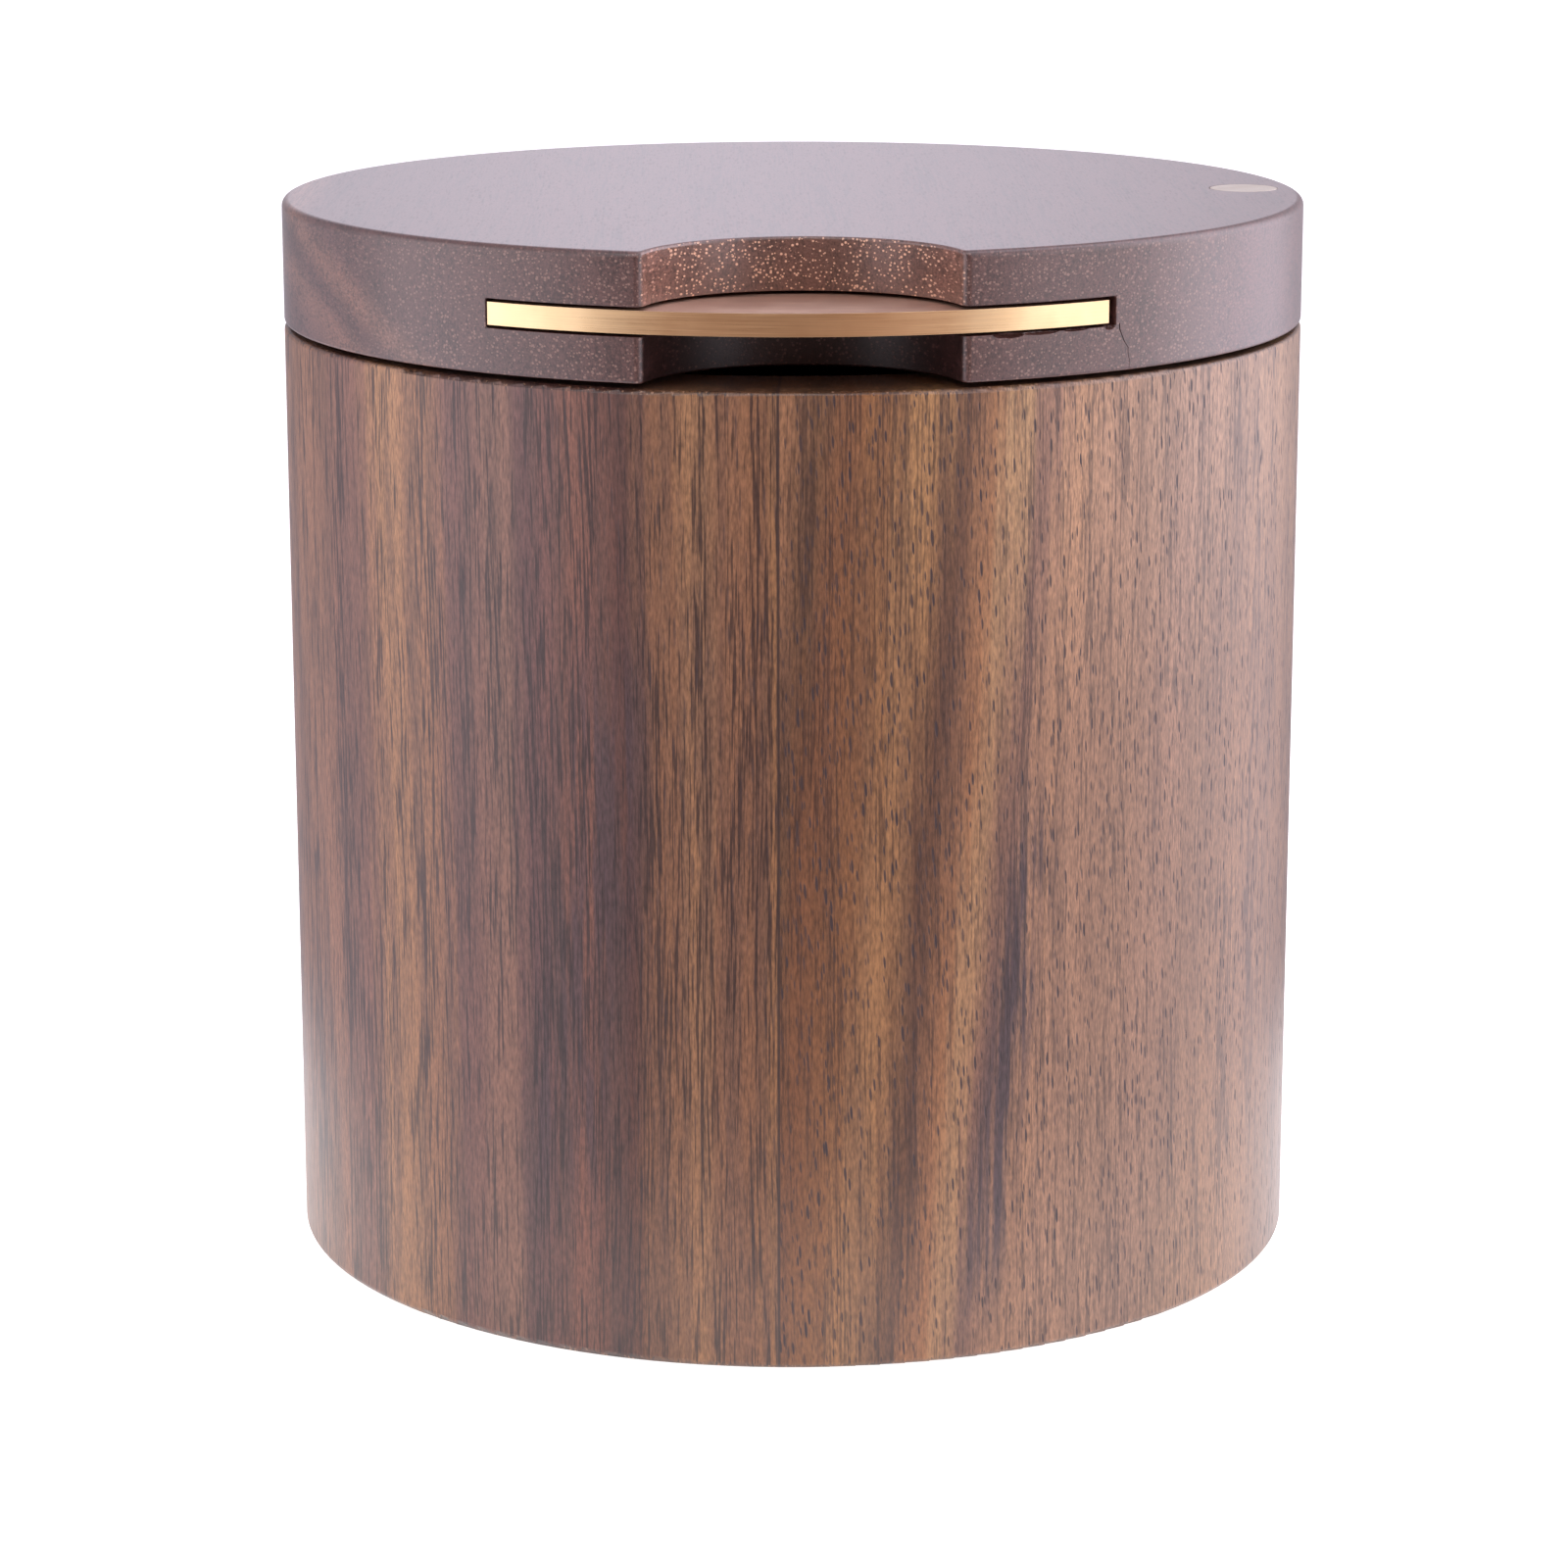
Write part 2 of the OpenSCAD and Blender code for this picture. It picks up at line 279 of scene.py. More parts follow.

    # The notch's wall above the kerf is paler and more golden: painted light for the light from above
    # and what the plate bounces up. Its pores are full of pale dust. Below the kerf the wall is darker,
    # as painted shade under the plate, and its coat is thinned so that it reflects little. Both end
    # within 0.3 mm of the wall
    coat = film
    if notch:
        (notch_x, notch_y), reach, kerf, above, below = notch
        between_pores = 0.78
        in_pores = 1.15
        plan = put(tree, "ShaderNodeMapping", {
            "Vector": coordinates.outputs["Object"], "Scale": (1000, 1000, 0)})
        from_notch = put(tree, "ShaderNodeVectorMath", {0: plan.outputs[0], 1: (notch_x, notch_y, 0)},
                         operation="DISTANCE")
        inside = put(tree, "ShaderNodeMapRange", {
            "Value": from_notch.outputs["Value"], "From Min": reach + 0.25, "From Max": reach - 0.05})
        level = put(tree, "ShaderNodeSeparateXYZ", {0: coordinates.outputs["Object"]})
        over = put(tree, "ShaderNodeMath", {0: level.outputs["Z"], 1: kerf / 1000},
                   operation="GREATER_THAN")
        # above lightens the wall as painted light, below darkens it as painted shade under the plate
        painted_light_and_shade = put(tree, "ShaderNodeMix", {0: over.outputs[0], 6: (*below, 1), 7: (*above, 1)},
                   data_type="RGBA")
        lit_and_shaded_wall = put(tree, "ShaderNodeVectorMath", {0: surface, 1: painted_light_and_shade.outputs[2]},
                         operation="MULTIPLY")
        dust = put(tree, "ShaderNodeMath", {0: pore.outputs[0], 1: in_pores, 2: between_pores},
                   operation="MULTIPLY_ADD")
        dusty = put(tree, "ShaderNodeVectorMath", {0: lit_and_shaded_wall.outputs[0], "Scale": dust.outputs[0]},
                    operation="SCALE")
        cut = put(tree, "ShaderNodeMix", {0: inside.outputs[0], 6: surface, 7: dusty.outputs[0]},
                  data_type="RGBA")
        surface = cut.outputs[2]
        # Below the kerf, in the painted shade under the plate, the coat is thinned to a tenth
        under = put(tree, "ShaderNodeMath", {0: 1.0, 1: over.outputs[0]}, operation="SUBTRACT")
        bare = put(tree, "ShaderNodeMath", {0: under.outputs[0], 1: inside.outputs[0]},
                   operation="MULTIPLY")
        filmed = put(tree, "ShaderNodeMapRange", {
            "Value": bare.outputs[0], "To Min": film, "To Max": 0.1 * film})
        coat = filmed.outputs[0]

    # Pores are sunk and dull, and the fibres between them stand up by hundredths of a millimetre
    rough = put(tree, "ShaderNodeMapRange", {
        "Value": dash.outputs[0], "To Min": satin, "To Max": satin + 0.2})
    hollow = put(tree, "ShaderNodeMath", {0: dash.outputs[0], 1: -1.0, 2: hair.outputs["Fac"]},
                 operation="MULTIPLY_ADD")
    relief = put(tree, "ShaderNodeBump", {
        "Height": hollow.outputs[0], "Strength": 0.6, "Distance": 0.00004})
    shader = put(tree, "ShaderNodeBsdfPrincipled", {
        "Base Color": surface, "Roughness": rough.outputs[0], "IOR": 1.5,
        "Coat Weight": coat, "Coat Roughness": 0.3, "Normal": relief.outputs[0]})
    tree.links.new(shader.outputs[0], tree.nodes["Material Output"].inputs[0])
    return material


# The pith of both blocks is far to the left, so their bands stand nearly across the box.
# Keys are millimetres from that pith: 400 is the box's axis.
seam_azimuth = -2.6
left_walnut = walnut("walnut_left_block", {
    352: "#815840", 357: "#724c3e", 361.5: "#8c6342", 366: "#7b5339", 369: "#613f36",
    374: "#735040", 376.6: "#553632", 381: "#6a4132", 385.5: "#4d2d24", 389: "#6f492f",
    393: "#815a3a", 396: "#734c32", 398.8: "#734b2f", 400.8: "#7e5532"},
    pith=(-400, 0), log_at=0, feather=2.0, line_depth=0.8, pore_depth=0.5, pore_cell=(0.4, 0.4, 5),
    end_tone=0.55, smoke=((-25, 6), (-18, 80), 6, 0.75), film=0.3,
    fade=(60, 95, (1.15, 1.22, 1.26)), seam=seam_azimuth)
right_walnut = walnut("walnut_right_block", {
    394: "#734c31", 397: "#5c3c24", 400: "#694023", 403.5: "#714827", 407: "#875e38",
    410.8: "#563622", 413: "#815534", 415.5: "#906a47", 418: "#714e3d", 421.5: "#8e664a",
    425: "#8a654d", 429: "#83614b", 433: "#84624d", 437: "#7f5e47", 441: "#866247", 453: "#6b4c3a"},
    pith=(-400, 0), log_at=340, lean=0.08, feather=2.0, line_depth=0.52, pore_depth=1.0,
    pore_size=0.305, pore_cell=(0.38, 0.42, 2.3), slant=0.07, end_tone=0.55,
    smoke=((15.9, -2), (23.6, 63), 3.6, 0.95), film=0.3,
    fade=(62, 92, (1.27, 1.39, 1.47)), seam=seam_azimuth)
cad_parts["body_left_block"].data.materials[0] = left_walnut
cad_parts["body_right_block"].data.materials[0] = right_walnut


# --- Catch magnets and pivot bush ------------------------------------------
# Two nickel-plated disc magnets are glued into the rim and the lid's underside.
# The bush is turned from brass rod and glued into the rim, with its flange proud.

def metal(name, colour, dulled, dullness, roughness, stroke, turned_about=None):
    """A bare metal, worked by tool marks whose size in mm along each axis is stroke; turned_about
    is the axis of a turned piece in mm, whose marks are rings. dulled is the colour of the thin
    brown film that air gives it in patches of about 5 mm, and dullness is how much of it there
    is."""
    material, tree = blank_material(name)
    coordinates = put(tree, "ShaderNodeTexCoord")
    at = put(tree, "ShaderNodeMapping", {
        "Vector": coordinates.outputs["Object"], "Scale": (1000, 1000, 1000)})
    place = at.outputs[0]
    if turned_about:
        flat = put(tree, "ShaderNodeMapping", {"Vector": place, "Scale": (1, 1, 0)})
        out = put(tree, "ShaderNodeVectorMath", {0: flat.outputs[0], 1: (*turned_about, 0)},
                  operation="DISTANCE")
        height = put(tree, "ShaderNodeSeparateXYZ", {0: place})
        rings = put(tree, "ShaderNodeCombineXYZ", {"X": out.outputs["Value"], "Z": height.outputs["Z"]})
        place = rings.outputs[0]
    marks_at = put(tree, "ShaderNodeVectorMath", {0: place, 1: [1 / size for size in stroke]},
                   operation="MULTIPLY")
    marks = put(tree, "ShaderNodeTexNoise", {"Vector": marks_at.outputs[0], "Scale": 1, "Detail": 3})
    patches = put(tree, "ShaderNodeTexNoise", {"Vector": at.outputs[0], "Scale": 1 / 5, "Detail": 3})
    film = put(tree, "ShaderNodeMapRange", {
        "Value": patches.outputs["Fac"], "From Min": 0.35, "From Max": 0.7, "To Max": dullness})
    tinted = put(tree, "ShaderNodeMix", {0: film.outputs[0], 6: srgb(colour), 7: srgb(dulled)},
                 data_type="RGBA")

    # Each mark changes the tone a little, the gloss by as much as swing, and the height
    swing = 0.06
    shade = put(tree, "ShaderNodeMapRange", {
        "Value": marks.outputs["Fac"], "From Min": 0.3, "From Max": 0.7, "To Min": 0.9, "To Max": 1.08})
    marked = put(tree, "ShaderNodeVectorMath", {0: tinted.outputs[2], "Scale": shade.outputs[0]},
                 operation="SCALE")
    gloss = put(tree, "ShaderNodeMapRange", {
        "Value": marks.outputs["Fac"], "From Min": 0.3, "From Max": 0.7,
        "To Min": roughness - swing, "To Max": roughness + swing})
    relief = put(tree, "ShaderNodeBump", {
        "Height": marks.outputs["Fac"], "Strength": 0.35, "Distance": 0.00001})
    shader = put(tree, "ShaderNodeBsdfPrincipled", {
        "Base Color": marked.outputs[0], "Metallic": 1.0, "Roughness": gloss.outputs[0],
        "Normal": relief.outputs[0]})
    tree.links.new(shader.outputs[0], tree.nodes["Material Output"].inputs[0])
    return material


def middle(node):
    """The plan position, in mm, of the middle of a CAD node's box."""
    low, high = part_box(node)
    return ((low[0] + high[0]) * 500, (low[1] + high[1]) * 500)


# Plated nickel is a warm grey mirror with a faint milkiness
nickel = metal("nickel_plated", "#cdc8bf", "#8f877c", 0.25, 0.2, (0.3, 0.3, 0.3))
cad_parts["body_magnet"].data.materials[0] = nickel
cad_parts["lid_magnet"].data.materials[0] = nickel
# Turned brass shows the fine rings that the tool left, and dulls where no hand polishes it
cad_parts["pivot_bush"].data.materials[0] = metal(
    "brass_turned", "#f0d08a", "#8d6a3c", 0.35, 0.3, (0.12, 1, 0.12), turned_about=middle("pivot_bush"))


# --- Lid board -------------------------------------------------------------
# One round board of walnut with its grain from front to back, turned to the body's
# diameter. The thumb notch is bored through its edge, and the kerf for the plate is
# cut round the same centre. Every edge is sanded over, and the kerf's lip has chipped.

lid_low, lid_high = (Vector(corner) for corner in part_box("lid_board"))
lid_r = lid_high.x
lid_t = lid_high.z - lid_low.z
lid_round = 0.0008           # top edge, outside
lid_under_round = 0.0003     # lower edge, outside
notch_top_round = 0.00035
notch_under_round = 0.0002
notch_r = 0.0155
notch_at = Vector((0, -(lid_r + 0.0015), 0))
corner_r = 0.0008            # upright corners between the notch and the edge
kerf_r = 0.0318
kerf_low = lid_low.z + 0.0044
kerf_h = 0.0028
arris = 0.00012              # what sanding takes off the kerf's lips and the holes


def one_point(name, at):
    """A new mesh of a single point, open in edit mode, from which an outline is spun."""
    bpy.ops.object.select_all(action="DESELECT")
    bpy.ops.mesh.primitive_plane_add(size=0.001)
    piece = bpy.context.object
    piece.name = piece.data.name = name
    bpy.ops.object.mode_set(mode="EDIT")
    bpy.ops.mesh.select_all(action="SELECT")
    bpy.ops.mesh.merge(type="CENTER")
    bpy.ops.transform.translate(value=at)
    return piece


def spin_on(centre, start, end, turns_right=False):
    """Carries an outline on from its last point to the direction of end, about centre, in at
    least 8 steps of 1 mm or less. With no window a spin turns clockwise, which the minus sign
    undoes."""
    from_angle = math.atan2(start.y - centre.y, start.x - centre.x)
    to_angle = math.atan2(end.y - centre.y, end.x - centre.x)
    sweep = (to_angle - from_angle) % (2 * math.pi)
    if turns_right:
        sweep -= 2 * math.pi
    radius = (start - centre).length
    steps = max(8, math.ceil(abs(sweep) * radius / 0.001))
    bpy.ops.mesh.spin(steps=steps, angle=-sweep, center=centre, axis=(0, 0, 1))


def close_and_raise(height):
    """Fills the finished outline, raises it to a solid and leaves edit mode."""
    bpy.ops.mesh.select_all(action="SELECT")
    bpy.ops.mesh.remove_doubles(threshold=1e-6)
    bpy.ops.mesh.edge_face_add()
    bpy.ops.mesh.extrude_region_move(TRANSFORM_OT_translate={"value": (0, 0, height)})
    bpy.ops.mesh.select_all(action="SELECT")
    bpy.ops.mesh.normals_make_consistent(inside=False)
    bpy.ops.object.mode_set(mode="OBJECT")


def finish_with(piece, kind, **settings):
    """Adds a modifier to a piece with its settings and applies it."""
    bpy.ops.object.select_all(action="DESELECT")
    piece.select_set(True)
    bpy.context.view_layer.objects.active = piece
    bpy.ops.object.modifier_add(type=kind)
    modifier = piece.modifiers[-1]
    for setting, value in settings.items():
        setattr(modifier, setting, value)
    bpy.ops.object.modifier_apply(modifier=modifier.name)


def cut_away(piece, cutter):
    """Subtracts the cutter from the piece and deletes it."""
    finish_with(piece, "BOOLEAN", operation="DIFFERENCE", solver="EXACT", object=cutter)
    bpy.data.objects.remove(cutter)


def drill(piece, at, radius, low, high, sides=96):
    """Bores an upright round hole."""
    bpy.ops.object.select_all(action="DESELECT")
    bpy.ops.mesh.primitive_cylinder_add(vertices=sides, radius=radius, depth=high - low,
                                        location=(at.x, at.y, (low + high) / 2))
    cut_away(piece, bpy.context.object)


def smooth_off(piece):
    """Rounds shade smoothly and flats stay flat."""
    bpy.ops.object.select_all(action="DESELECT")
    piece.select_set(True)
    bpy.context.view_layer.objects.active = piece
    bpy.ops.object.shade_smooth_by_angle(angle=math.radians(40))
    finish_with(piece, "WEIGHTED_NORMAL", keep_sharp=True, weight=60)


# The corner's round touches the lid's edge and the notch, so its centre is corner_r inside both
reach_edge, reach_notch = lid_r - corner_r, notch_r + corner_r
corner_y = (reach_notch ** 2 - reach_edge ** 2 - notch_at.y ** 2) / (-2 * notch_at.y)
corner = Vector((math.sqrt(reach_edge ** 2 - corner_y ** 2), corner_y, 0))
on_edge = corner * (lid_r / reach_edge)
in_notch = notch_at + (corner - notch_at) * (notch_r / reach_notch)
mirrored = Matrix.Scale(-1, 3, (1, 0, 0))

board = one_point("walnut_lid_board", (on_edge.x, on_edge.y, lid_low.z))
spin_on(Vector((0, 0, 0)), on_edge, mirrored @ on_edge)
spin_on(mirrored @ corner, mirrored @ on_edge, mirrored @ in_notch)
spin_on(notch_at, mirrored @ in_notch, in_notch, turns_right=True)
spin_on(corner, in_notch, on_edge)
close_and_raise(lid_t)

# Each edge of the outline gets its share of the widest round
weights = board.data.attributes.new("bevel_weight_edge", "FLOAT", "EDGE")
for edge in board.data.edges:
    a, b = (board.data.vertices[i].co for i in edge.vertices)
    if abs(a.z - b.z) > lid_t / 2:
        continue
    half_way = ((a + b) / 2).to_2d()
    toward_edge = min(1, max(0, ((half_way - notch_at.to_2d()).length - notch_r) / corner_r))
    on_top = a.z > lid_low.z + lid_t / 2
    outer, inner = (lid_round, notch_top_round) if on_top else (lid_under_round, notch_under_round)
    weights.data[edge.index].value = (inner + (outer - inner) * toward_edge) / lid_round
finish_with(board, "BEVEL", limit_method="WEIGHT", width=lid_round, segments=6)

pin_at = Vector(middle("pivot_pin")) / 1000
magnet_at = Vector(middle("lid_magnet")) / 1000
pin_hole_r = 0.00353
pocket_r = 0.00303
pocket_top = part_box("lid_magnet")[1][2]
past = 0.001                 # how far a drill runs past a face that it leaves or enters
drill(board, notch_at, kerf_r, kerf_low, kerf_low + kerf_h, sides=256)
drill(board, pin_at, pin_hole_r, lid_low.z - past, lid_high.z + past)
drill(board, magnet_at, pocket_r, lid_low.z - past, pocket_top)
finish_with(board, "BEVEL", limit_method="ANGLE", angle_limit=math.radians(60), width=arris,
            segments=2, use_clamp_overlap=False)


def at_edge(azimuth, z):
    """A point on the lid's edge, in a direction counted from the notch towards +X."""
    a = math.radians(azimuth)
    return Vector((lid_r * math.sin(a), -lid_r * math.cos(a), z))


# Where the saw tore the kerf's lower lip, by direction, length, depth down and depth in. Each
# chip is a ball with a ragged face, squashed to its size
ragged = 0.16
chips = ((21.7, 0.0034, 0.00042, 0.0009), (25.4, 0.0040, 0.00026, 0.0006),
         (29.6, 0.0030, 0.00018, 0.0005), (33.9, 0.0013, 0.00035, 0.0006))
for azimuth, length, down, deep in chips:
    bpy.ops.object.select_all(action="DESELECT")
    bpy.ops.mesh.primitive_ico_sphere_add(subdivisions=3, radius=1)
    chip = bpy.context.object
    bpy.ops.object.mode_set(mode="EDIT")
    bpy.ops.transform.vertex_random(offset=ragged, seed=round(azimuth))
    bpy.ops.object.mode_set(mode="OBJECT")
    chip.scale = (length / 2, deep, down)
    chip.rotation_euler = (0, 0, math.radians(azimuth))
    chip.location = at_edge(azimuth, kerf_low)
    cut_away(board, chip)

# The hairline crack from the kerf's end to the lid's underside: a thin blade with two waves
# laid over each other, each with its height and the angle in radians that it runs through
crack_w = 0.00013
crack_deep = 0.0008
crack_past = 0.0002          # how far the blade reaches into the kerf and out of the underside
crack_top = at_edge(35.2, kerf_low + crack_past)
crack_foot = at_edge(37.1, lid_low.z - crack_past)
long_bend, long_angle = 0.00018, 9
short_bend, short_angle = 0.00008, 23
foot_thinner = 0.7           # share of the width that is gone at the foot
bpy.ops.object.select_all(action="DESELECT")
bpy.ops.mesh.primitive_cube_add(size=1)
blade = bpy.context.object
bpy.ops.object.mode_set(mode="EDIT")
bpy.ops.mesh.subdivide(number_cuts=7)
bpy.ops.object.mode_set(mode="OBJECT")
slope = crack_foot - crack_top
outward = at_edge(36, 0).normalized()
aside = outward.cross(Vector((0, 0, 1)))
for vertex in blade.data.vertices:
    down = 0.5 - vertex.co.z     # 0 at the top, 1 at the foot
    sway = long_bend * math.sin(down * long_angle) + short_bend * math.sin(down * short_angle)
    width = crack_w * (1 - foot_thinner * down)
    vertex.co = (crack_top + slope * down + aside * (vertex.co.x * width + sway)
                 + outward * (vertex.co.y * 2 * crack_deep))
cut_away(board, blade)
smooth_off(board)

# The lid comes from another, darker log, and more oil and wax is rubbed into it than into the
# body. Two paler rings come out as diagonal arcs at its left
lid_walnut = walnut("walnut_lid", {
    60: "#61413d", 80: "#61413d", 96: "#5b3e3b", 98.5: "#7c574a", 100.5: "#5a3c38", 102.5: "#785347",
    106: "#61413d"},
    pith=(25, -173), grain=(0, 1, 0), log_at=700, feather=0.6, line_depth=0.5, pore_depth=0.35,
    pore_size=0.335, pore_cell=(0.36, 0.36, 3), end_speck="#84655a", end_tone=0.68, film=0.85,
    # The notch's wall: painted light above the kerf, then painted shade below it under the plate
    notch=((notch_at.x * 1000, notch_at.y * 1000), notch_r * 1000, (kerf_low + kerf_h / 2) * 1000,
           (2.5, 2.75, 2.3), (0.27, 0.23, 0.25)))
board.data.materials.append(lid_walnut)
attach(board, "lid")
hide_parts("lid_board")


# --- Thumb plate -----------------------------------------------------------
# A lens of brass sheet, glued into the kerf. Its front edge is turned flush with the
# lid and brushed along its length, and its faces keep the brown tone of the rolled sheet.

plate_low, plate_high = (Vector(corner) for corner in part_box("thumb_plate"))
plate_t = plate_high.z - plate_low.z
plate_arris = 0.0002
plate_middle = Vector(((plate_low.x + plate_high.x) / 2, notch_at.y, 0))
left_tip = Vector((plate_low.x, -math.sqrt(lid_r ** 2 - plate_low.x ** 2), 0))
right_tip = Vector((plate_high.x, -math.sqrt(lid_r ** 2 - plate_high.x ** 2), 0))

plate = one_point("brass_thumb_plate", (left_tip.x, left_tip.y, plate_low.z))
spin_on(Vector((0, 0, 0)), left_tip, right_tip)
spin_on(plate_middle, right_tip, left_tip)
close_and_raise(plate_t)
finish_with(plate, "BEVEL", limit_method="ANGLE", angle_limit=math.radians(40), width=plate_arris,
            segments=3)
smooth_off(plate)

# Rolled sheet, toned brown: satin, with faint marks of the rolls from side to side
plate.data.materials.append(metal(
    "brass_sheet_toned", "#e3c2ad", "#cfa893", 0.8, 0.45, (14, 0.25, 14)))
# The brushed edge is bright gold, with scratches along it, drawn 0.08 mm apart, which is coarser
# than real ones. The brush also takes in most of the edge's two arrises
plate.data.materials.append(metal(
    "brass_brushed", "#f5daaa", "#cfa16f", 0.3, 0.33, (9, 9, 0.08)))
brushed_depth = plate_arris * 0.8
nearly_level = 0.9
for face in plate.data.polygons:
    on_front = face.center.to_2d().length > lid_r - brushed_depth
    face.material_index = 1 if on_front and abs(face.normal.z) < nearly_level else 0
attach(plate, "lid")
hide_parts("thumb_plate")


# --- Pivot pin -------------------------------------------------------------
# A brass pin glued into the lid, turning in the bush below. Its upper end is faced
# off and sanded flush with the lid's top, under the same thin film of oil and wax.

pin_low, pin_high = (Vector(corner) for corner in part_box("pivot_pin"))
pin_r = (pin_high.x - pin_low.x) / 2
pin_point = 0.0006           # chamfer on the lower end
top_share = 0.15             # of that chamfer, on the upper edge
bpy.ops.object.select_all(action="DESELECT")
bpy.ops.mesh.primitive_cylinder_add(vertices=64, radius=pin_r, depth=pin_high.z - pin_low.z,
                                    location=(pin_at.x, pin_at.y, (pin_low.z + pin_high.z) / 2))
pin = bpy.context.object
pin.name = pin.data.name = "brass_pivot_pin"
bpy.ops.object.transform_apply(location=True, rotation=True, scale=True)
shares = pin.data.attributes.new("bevel_weight_edge", "FLOAT", "EDGE")
for edge in pin.data.edges:
    a, b = (pin.data.vertices[i].co for i in edge.vertices)
    if abs(a.z - b.z) < pin_point:
        shares.data[edge.index].value = 1.0 if a.z < pin_low.z + pin_point else top_share
finish_with(pin, "BEVEL", limit_method="WEIGHT", width=pin_point, segments=3)
smooth_off(pin)

# Brass under oil and wax is paler and duller than bare brass, and its facing marks are rings
pin.data.materials.append(metal(
    "brass_faced", "#e1d8cc", "#bcab97", 0.4, 0.45, (0.15, 1, 0.15), turned_about=middle("pivot_pin")))
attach(pin, "lid")
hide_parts("pivot_pin")


# --- Studio ----------------------------------------------------------------
# A pale light table of opal acrylic, a bright surround behind and beside the box, large
# soft boxes left, right and above, and the camera where the photograph was taken from.

bpy.ops.object.select_all(action="DESELECT")
bpy.ops.mesh.primitive_plane_add(size=8, location=(0, 0, 0))
floor = bpy.context.object
floor.name = "studio_floor"
opal, tree = blank_material("opal_light_table")
# Opal acrylic, lit from below: brightest under the box and less so farther out
matt = put(tree, "ShaderNodeBsdfDiffuse", {"Color": srgb("#f6f6f6")})
at = put(tree, "ShaderNodeTexCoord")
from_box = put(tree, "ShaderNodeVectorMath", {0: at.outputs["Object"]}, operation="LENGTH")
power = put(tree, "ShaderNodeMapRange", {
    "Value": from_box.outputs["Value"], "From Min": 0.09, "From Max": 0.3,
    "To Min": 0.9, "To Max": 0.45}, interpolation_type="SMOOTHSTEP")
lit = put(tree, "ShaderNodeEmission", {"Color": (1, 1, 1, 1), "Strength": power.outputs[0]})
table = put(tree, "ShaderNodeAddShader", {0: matt.outputs[0], 1: lit.outputs[0]})
# Reflections show the table only close to the box, and the surround beyond that
far = put(tree, "ShaderNodeMapRange", {
    "Value": from_box.outputs["Value"], "From Min": 0.07, "From Max": 0.14},
    interpolation_type="SMOOTHSTEP")
path = put(tree, "ShaderNodeLightPath")
unseen = put(tree, "ShaderNodeMath", {0: far.outputs[0], 1: path.outputs["Is Glossy Ray"]},
             operation="MULTIPLY")
clear = put(tree, "ShaderNodeBsdfTransparent")
shown = put(tree, "ShaderNodeMixShader", {
    0: unseen.outputs[0], 1: table.outputs[0], 2: clear.outputs[0]})
tree.links.new(shown.outputs[0], tree.nodes["Material Output"].inputs[0])
floor.data.materials.append(opal)

surround = bpy.data.worlds.new("studio_surround")
bpy.context.scene.world = surround
surround.use_nodes = True
tree = surround.node_tree
sky = put(tree, "ShaderNodeTexCoord")
heading = put(tree, "ShaderNodeSeparateXYZ", {0: sky.outputs["Generated"]})
ahead = put(tree, "ShaderNodeMath", {0: heading.outputs["Y"], 1: -1.0}, operation="MULTIPLY")
azimuth = put(tree, "ShaderNodeMath", {0: heading.outputs["X"], 1: ahead.outputs[0]}, operation="ARCTAN2")
turn = put(tree, "ShaderNodeMapRange", {
    "Value": azimuth.outputs[0], "From Min": -math.pi, "From Max": math.pi})
# Brightness by direction, in degrees from the camera's side of the box towards +X
screens = {-180: 1.34, -175: 1.14, -168: 0.74, -155: 0.3, -140: 0.45, -125: 0.58, -105: 0.64,
           -84: 0.88, -63: 0.5, -42: 0.36, 0: 0.21, 46: 0.78, 57: 0.98, 68: 0.8, 79: 0.7,
           94: 2.2, 110: 2.5, 126: 2.5, 150: 0.5, 168: 0.5, 175: 1.12, 180: 1.34}
brightest = max(screens.values())
pattern = put(tree, "ShaderNodeValToRGB", {"Fac": turn.outputs[0]})
stops = pattern.color_ramp.elements
stops.remove(stops[1])
for direction, brightness in screens.items():
    part_of_turn = (direction + 180) / 360
    stop = stops.new(part_of_turn) if part_of_turn else stops[0]
    stop.position = part_of_turn
    stop.color = [brightness / brightest] * 3 + [1.0]
# The lit table shines back from below, more on the left than on the right
sideways = put(tree, "ShaderNodeMapRange", {
    "Value": heading.outputs["X"], "From Min": -0.6, "From Max": 0.6,
    "To Min": 2.0 * brightest, "To Max": 0.62 * brightest})
below = put(tree, "ShaderNodeMapRange", {
    "Value": heading.outputs["Z"], "From Min": -0.12, "From Max": -0.3,
    "To Min": brightest, "To Max": sideways.outputs[0]})
glow = put(tree, "ShaderNodeMath", {0: pattern.outputs["Color"], 1: below.outputs[0]},
           operation="MULTIPLY")
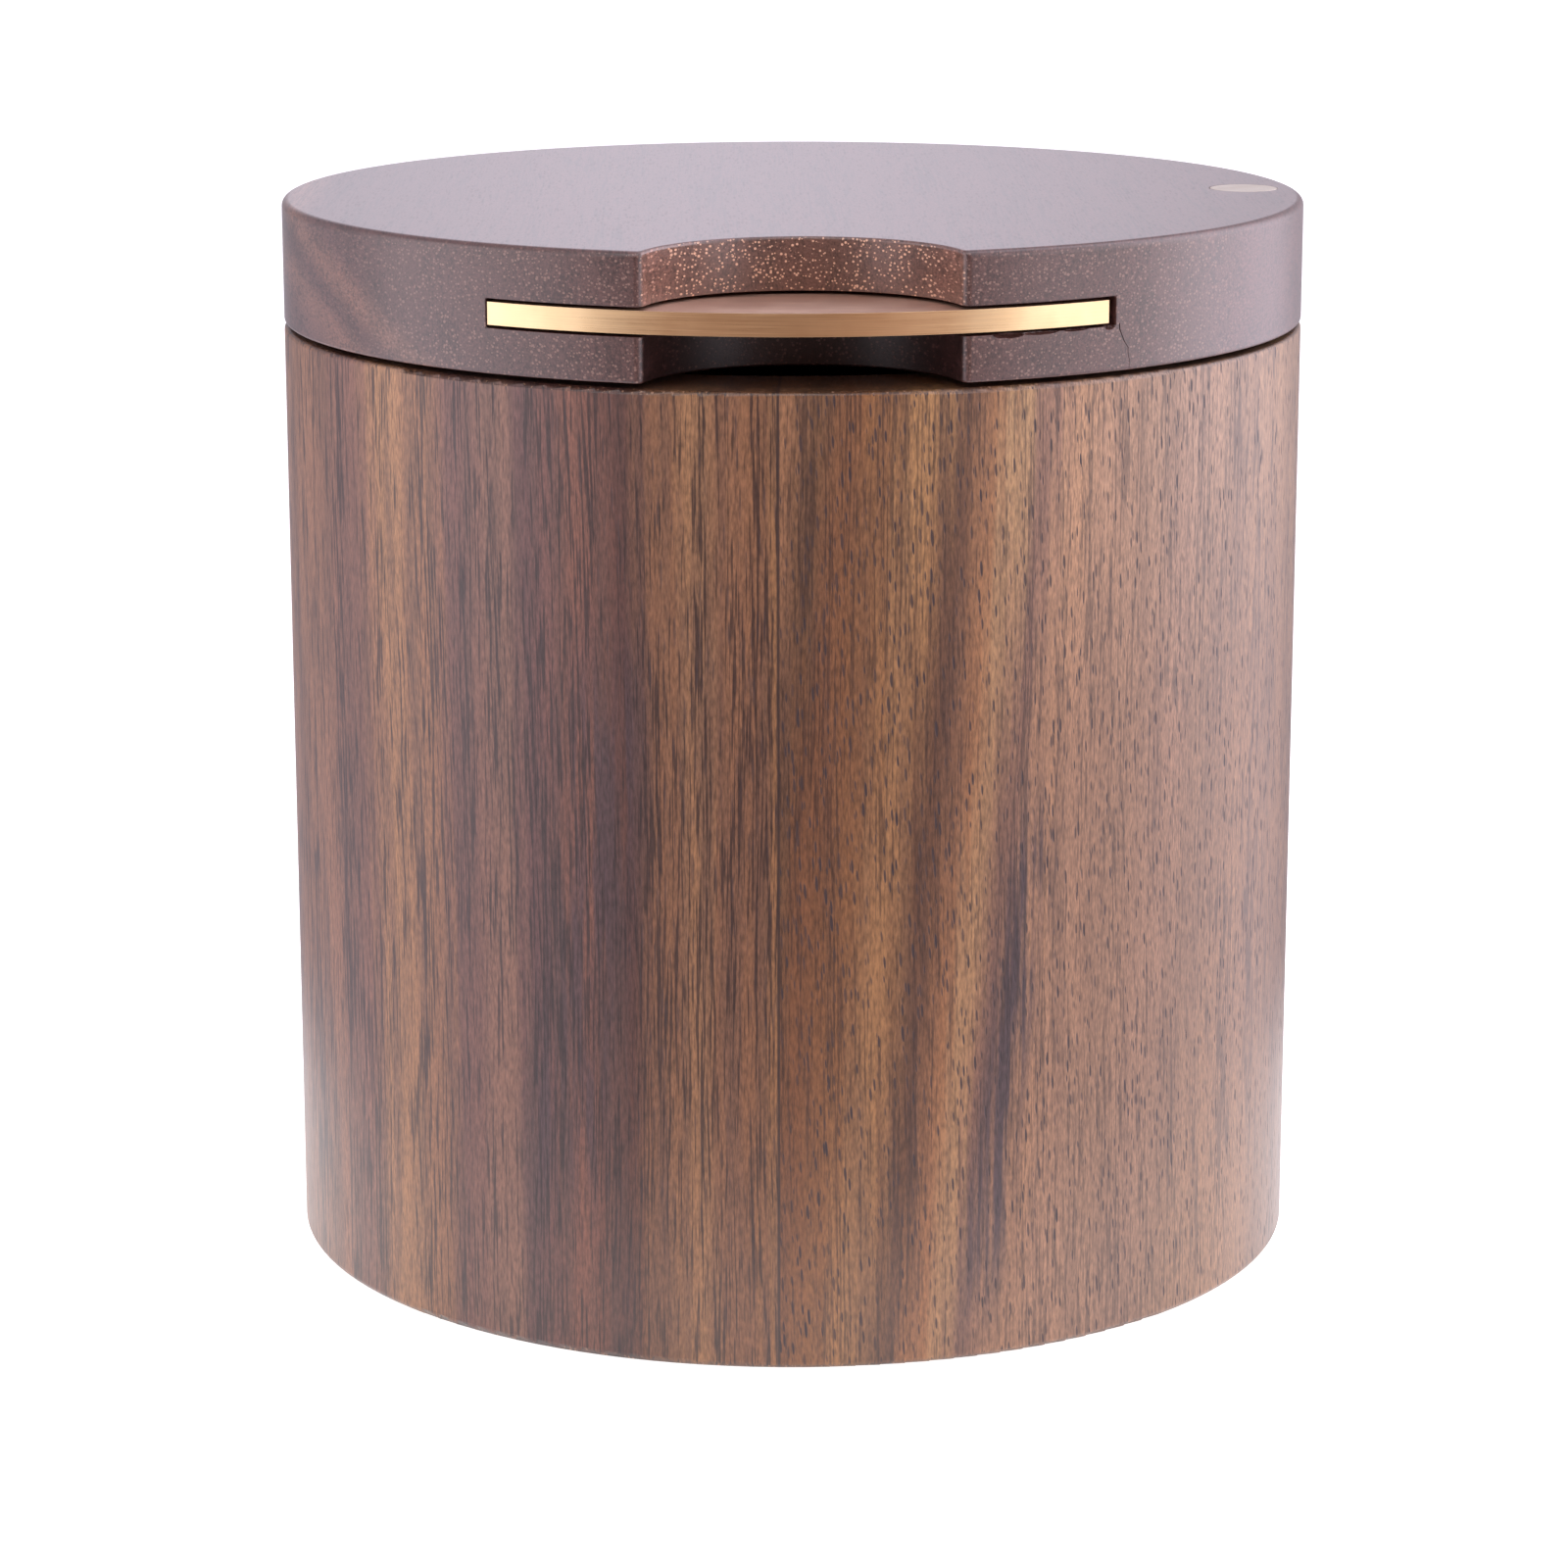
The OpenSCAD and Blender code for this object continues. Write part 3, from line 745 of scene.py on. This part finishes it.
# The screens are a cool lilac white, and the dim room behind the camera is warm
near_room = put(tree, "ShaderNodeMapRange", {
    "Value": heading.outputs["Y"], "From Min": -0.6, "From Max": -0.9},
    interpolation_type="SMOOTHSTEP")
tint = put(tree, "ShaderNodeMix", {
    0: near_room.outputs[0], 6: (0.92, 0.875, 1.0, 1), 7: (1.0, 0.6, 0.53, 1)},
    data_type="RGBA")
background = tree.nodes["Background"]
tree.links.new(tint.outputs[2], background.inputs["Color"])
tree.links.new(glow.outputs[0], background.inputs["Strength"])

box_middle = Vector((0, 0, 0.05))


def soft_box(name, azimuth, elevation, distance, width, tall, watts, tint):
    """A rectangular soft light that faces the middle of the box. Its direction is counted from
    the camera's side towards +X, and upwards."""
    a, e = math.radians(azimuth), math.radians(elevation)
    back = Vector((math.sin(a) * math.cos(e), -math.cos(a) * math.cos(e), math.sin(e)))
    data = bpy.data.lights.new(name, "AREA")
    data.shape = "RECTANGLE"
    data.size, data.size_y = width, tall
    data.energy = watts
    data.color = tint
    lamp = bpy.data.objects.new(name, data)
    bpy.context.collection.objects.link(lamp)
    lamp.location = box_middle + back * distance
    lamp.rotation_euler = back.to_track_quat("Z", "Y").to_euler()


soft_box("soft_box_right", 76, 15, 0.8, 1.0, 0.8, 3.15, (1, 0.92, 0.95))
soft_box("soft_box_left", -74, 15, 0.8, 0.9, 0.8, 3.0, (1, 0.9, 0.94))
soft_box("soft_box_above", -10, 62, 0.9, 0.7, 0.5, 2.6, (1, 0.97, 0.97))

bpy.context.scene.view_settings.view_transform = "Standard"

camera_height = 0.16405
camera_distance = 0.49543
camera_azimuth = math.radians(-1.1)
camera_pitch = math.radians(13.3525)
camera_yaw = math.radians(0.108)
camera_roll = math.radians(-0.058)
lens = bpy.data.cameras.new("camera")
lens.lens = 109.99
lens.sensor_width = 36
lens.clip_start = 0.01
camera = bpy.data.objects.new("camera", lens)
bpy.context.collection.objects.link(camera)
stand = Matrix.Translation((camera_distance * math.sin(camera_azimuth),
                            -camera_distance * math.cos(camera_azimuth), camera_height))
camera.matrix_world = (stand @ Matrix.Rotation(camera_azimuth + camera_yaw, 4, "Z")
                       @ Matrix.Rotation(math.pi / 2 - camera_pitch, 4, "X")
                       @ Matrix.Rotation(camera_roll, 4, "Z"))
bpy.context.scene.camera = camera
